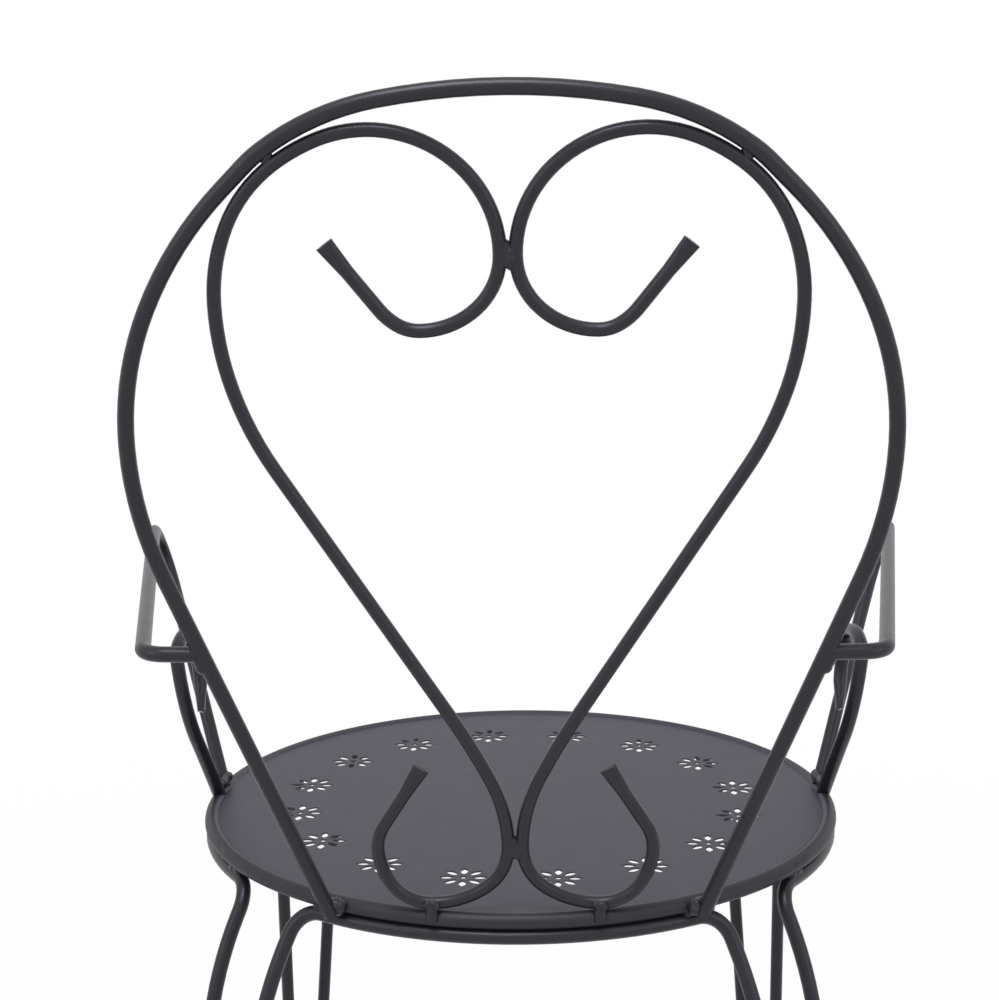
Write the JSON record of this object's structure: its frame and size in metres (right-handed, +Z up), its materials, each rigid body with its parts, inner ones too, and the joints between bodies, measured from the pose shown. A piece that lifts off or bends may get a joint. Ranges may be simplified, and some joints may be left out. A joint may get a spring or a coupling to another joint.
{
  "type": "armchair",
  "caption": "Garden bistro armchair of bent round steel rod: balloon back hoop round a scrolled heart, round sheet seat punched with daisies, open curled arms and hairpin legs.",
  "frame": {"origin": "on the floor, under the middle of the chair's overall length and width", "axes": "+Z up, the chair faces -Y, and the sitter's left is +X"},
  "size_m": [0.5018, 0.4826, 0.8995],
  "materials": {
    "powder_coat": "matte",
    "bare_wire": "brushed",
    "glide_plastic": "matte"
  },
  "bodies": {
    "root": {"seat_pan": "powder_coat", "back_hoop": "powder_coat", "heart_rod_left": "powder_coat", "heart_rod_right": "powder_coat", "heart_weld_upper": "powder_coat", "heart_weld_lower": "powder_coat", "hoop_tie_left": "powder_coat", "hoop_tie_right": "powder_coat", "heart_stub_left": "powder_coat", "heart_stub_right": "powder_coat", "leg_arch_left": "powder_coat", "leg_arch_back": "powder_coat", "leg_arch_right": "powder_coat", "leg_arch_front": "powder_coat", "arm_left": "powder_coat", "arm_curl_left": "powder_coat", "arm_weld_left": "powder_coat", "arm_foot_weld_left": "powder_coat", "curl_foot_weld_left": "powder_coat", "hoop_foot_weld_left": "powder_coat", "arm_right": "powder_coat", "arm_curl_right": "powder_coat", "arm_weld_right": "powder_coat", "arm_foot_weld_right": "powder_coat", "curl_foot_weld_right": "powder_coat", "hoop_foot_weld_right": "powder_coat", "leg_weld_back_left_left": "powder_coat", "leg_weld_back_left_back": "powder_coat", "foot_weld_back_left": "powder_coat", "leg_weld_back_right_back": "powder_coat", "leg_weld_back_right_right": "powder_coat", "foot_weld_back_right": "powder_coat", "leg_weld_front_right_right": "powder_coat", "leg_weld_front_right_front": "powder_coat", "foot_weld_front_right": "powder_coat", "leg_weld_front_left_front": "powder_coat", "leg_weld_front_left_left": "powder_coat", "foot_weld_front_left": "powder_coat", "seat_edge_wire": "bare_wire", "foot_glide_back_left": "glide_plastic", "foot_glide_back_right": "glide_plastic", "foot_glide_front_right": "glide_plastic", "foot_glide_front_left": "glide_plastic"}
  },
  "joints": []
}
